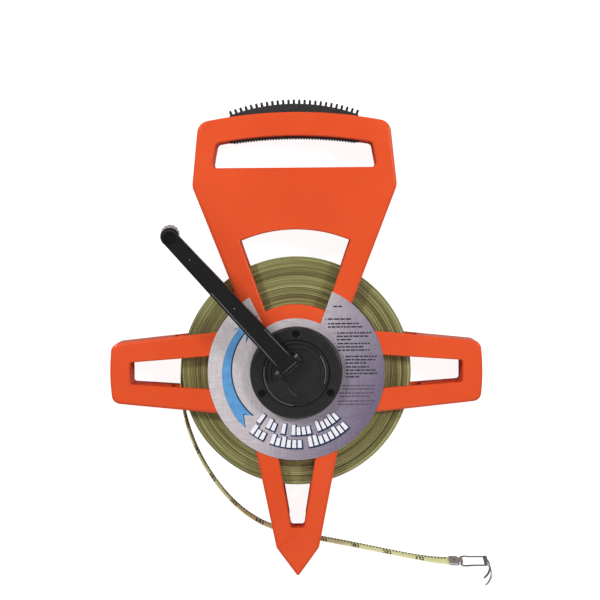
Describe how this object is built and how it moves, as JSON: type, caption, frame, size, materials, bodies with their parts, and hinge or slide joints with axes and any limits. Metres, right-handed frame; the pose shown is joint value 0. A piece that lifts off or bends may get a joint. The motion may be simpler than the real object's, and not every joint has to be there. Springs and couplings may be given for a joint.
{
  "type": "surveyor tape reel",
  "caption": "Open-frame long tape reel with a D handle, two side arms, a ground spike, a geared folding crank, wound tape and a free end with a claw hook.",
  "frame": {"origin": "reel axis in the plane of the frame's back face", "axes": "+Z along the reel axis to the crank side, +Y from the axis to the handle, +X to the right seen from the crank side"},
  "size_m": [0.3482, 0.4488, 0.0758],
  "materials": {
    "orange_abs": "satin moulded",
    "black_abs": "fine moulded texture",
    "black_rubber": "matte",
    "label_plate": "brushed silver print",
    "plated_steel": "plated",
    "brass": "dull",
    "nylon": "natural",
    "knob_grey": "moulded",
    "tape_wound": "coated fibreglass, on edge",
    "tape_face": "coated fibreglass, printed marks"
  },
  "bodies": {
    "reel": {"front_frame": "orange_abs", "back_frame": "orange_abs", "handle_grip": "black_rubber", "front_label": "label_plate", "gear_cover": "black_abs", "cover_screws": "plated_steel", "ring_gear": "nylon", "front_bush": "brass", "spindle": "plated_steel", "thrust_washer": "plated_steel", "spindle_clip": "plated_steel", "frame_screws": "plated_steel", "tape_tail": "tape_face", "tail_clip": "plated_steel", "clip_rivet": "brass"},
    "drum": {"drum": "black_abs", "tape_clamp": "plated_steel", "tape_pack": "tape_wound", "sun_gear": "nylon"},
    "crank": {"crank_disc": "black_abs", "planet_pins": "plated_steel", "hinge_pin": "plated_steel"},
    "planet_1": {"planet_gear_1": "nylon"},
    "planet_2": {"planet_gear_2": "nylon"},
    "planet_3": {"planet_gear_3": "nylon"},
    "crank_arm": {"crank_arm": "black_abs", "knob_axle": "plated_steel"},
    "knob": {"crank_knob": "knob_grey", "knob_collar": "black_abs"},
    "bail": {"hook_bail": "plated_steel"},
    "claw": {"claw_hook": "plated_steel"}
  },
  "joints": [
    {"name": "drum_spin", "type": "hinge", "parent": "reel", "child": "drum", "pos_m": [0, 0, 0.017], "axis": [0, 0, 1], "continuous": true},
    {"name": "crank_spin", "type": "hinge", "parent": "reel", "child": "crank", "pos_m": [0, 0, 0.041], "axis": [0, 0, 1], "continuous": true},
    {"name": "planet_1_spin", "type": "hinge", "parent": "crank", "child": "planet_1", "pos_m": [0.01949, 0.01125, 0.0368], "axis": [0, 0, 1], "continuous": true},
    {"name": "planet_2_spin", "type": "hinge", "parent": "crank", "child": "planet_2", "pos_m": [-0.01949, 0.01125, 0.0368], "axis": [0, 0, 1], "continuous": true},
    {"name": "planet_3_spin", "type": "hinge", "parent": "crank", "child": "planet_3", "pos_m": [0, -0.0225, 0.0368], "axis": [0, 0, 1], "continuous": true},
    {"name": "crank_fold", "type": "hinge", "parent": "crank", "child": "crank_arm", "pos_m": [-0.00664, 0.00748, 0.0482], "axis": [0.7478, 0.6639, 0], "range_deg": [-8, 172]},
    {"name": "knob_spin", "type": "hinge", "parent": "crank_arm", "child": "knob", "pos_m": [-0.10887, 0.12263, 0.06984], "axis": [0.0924, -0.1041, 0.9903], "continuous": true},
    {"name": "bail_swing", "type": "hinge", "parent": "reel", "child": "bail", "pos_m": [0.1511, -0.1795, 0.013], "axis": [0, -0.2756, 0.9613], "range_deg": [-80, 80]},
    {"name": "claw_swing", "type": "hinge", "parent": "bail", "child": "claw", "pos_m": [0.1741, -0.1795, 0.013], "axis": [0, -0.2756, 0.9613], "range_deg": [-40, 170]}
  ],
  "couplings": [
    {"joint": "crank_spin", "follows": "drum_spin", "ratio": 0.33333},
    {"joint": "planet_1_spin", "follows": "drum_spin", "ratio": -1.3333},
    {"joint": "planet_2_spin", "follows": "drum_spin", "ratio": -1.3333},
    {"joint": "planet_3_spin", "follows": "drum_spin", "ratio": -1.3333}
  ]
}
